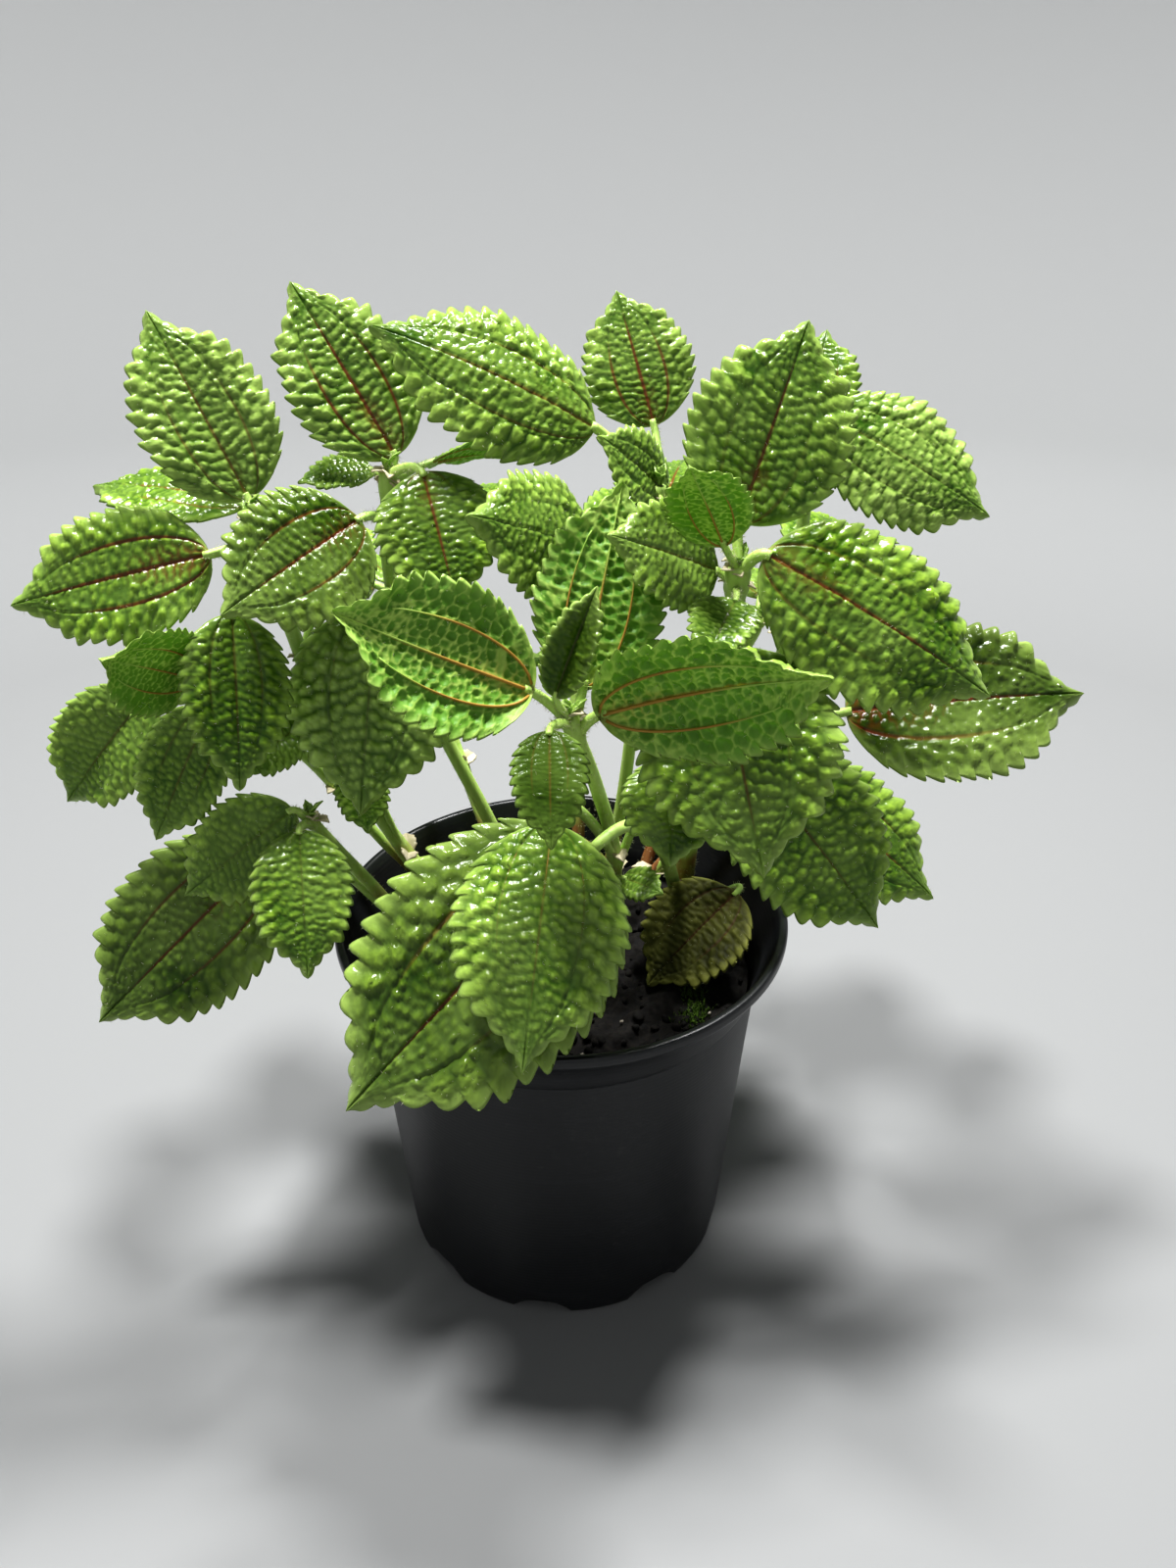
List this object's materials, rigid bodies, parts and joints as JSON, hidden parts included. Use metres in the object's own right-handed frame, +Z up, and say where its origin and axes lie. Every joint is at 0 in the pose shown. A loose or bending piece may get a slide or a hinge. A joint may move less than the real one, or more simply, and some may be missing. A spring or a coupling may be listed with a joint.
{
  "type": "potted pilea plant",
  "caption": "Bushy potted pilea with quilted, toothed oval leaves on upright stems in dark peat, in a tapered nursery pot with a flared collar and drainage notches.",
  "frame": {"origin": "middle of the underside of the pot's foot, on the surface that the pot stands on", "axes": "+Z up along the pot's axis; -Y is the front, the side that the picture is taken from; +X is to the right seen from the front"},
  "size_m": [0.2548, 0.1881, 0.2569],
  "materials": {
    "pot": "moulded charcoal-black polypropylene, satin, a little shinier on the rim, with dusty scuffs",
    "peat": "moist near-black peat with crumbs, pale grit and a little moss",
    "stem": "pale yellow-green, softly hairy, browner near the soil",
    "leaf": "mid green, quilted and finely hairy, with wet-looking highlights on the bumps and brown-red main veins",
    "old_leaf": "withered brown-green leaf with a pale curled edge"
  },
  "bodies": {
    "root": {"pot": "pot", "soil": "peat", "stem_back": "stem", "stem_back_left": "stem", "stem_back_right": "stem", "stem_centre": "stem", "stem_centre_left": "stem", "stem_front": "stem", "stem_left": "stem", "stem_left_low": "stem", "stem_low_left": "stem", "stem_right": "stem", "stem_right_back": "stem", "leaf_back_1": "leaf", "leaf_back_2": "leaf", "leaf_back_3": "leaf", "leaf_back_left_1": "leaf", "leaf_back_left_2": "leaf", "leaf_back_left_3": "leaf", "leaf_back_right_1": "leaf", "leaf_back_right_2": "leaf", "leaf_back_right_3": "leaf", "leaf_centre_1": "leaf", "leaf_centre_2": "leaf", "leaf_centre_3": "leaf", "leaf_centre_4": "leaf", "leaf_centre_left_1": "leaf", "leaf_centre_left_2": "leaf", "leaf_centre_left_3": "leaf", "leaf_centre_left_4": "leaf", "leaf_front_1": "leaf", "leaf_front_2": "leaf", "leaf_front_3": "leaf", "leaf_front_4": "leaf", "leaf_front_5": "leaf", "leaf_front_6": "leaf", "leaf_left_1": "leaf", "leaf_left_2": "leaf", "leaf_left_3": "leaf", "leaf_left_4": "leaf", "leaf_left_5": "leaf", "leaf_left_low_1": "leaf", "leaf_left_low_2": "leaf", "leaf_left_low_3": "leaf", "leaf_left_low_4": "leaf", "leaf_low_left_1": "leaf", "leaf_low_left_2": "leaf", "leaf_low_left_3": "leaf", "leaf_right_1": "leaf", "leaf_right_2": "leaf", "leaf_right_3": "leaf", "leaf_right_4": "leaf", "leaf_right_5": "leaf", "leaf_right_6": "old_leaf", "leaf_right_7": "leaf", "leaf_right_back_1": "leaf", "leaf_right_back_2": "leaf", "leaf_right_back_3": "leaf", "leaf_right_back_4": "leaf", "leaf_right_back_5": "leaf"}
  },
  "joints": []
}
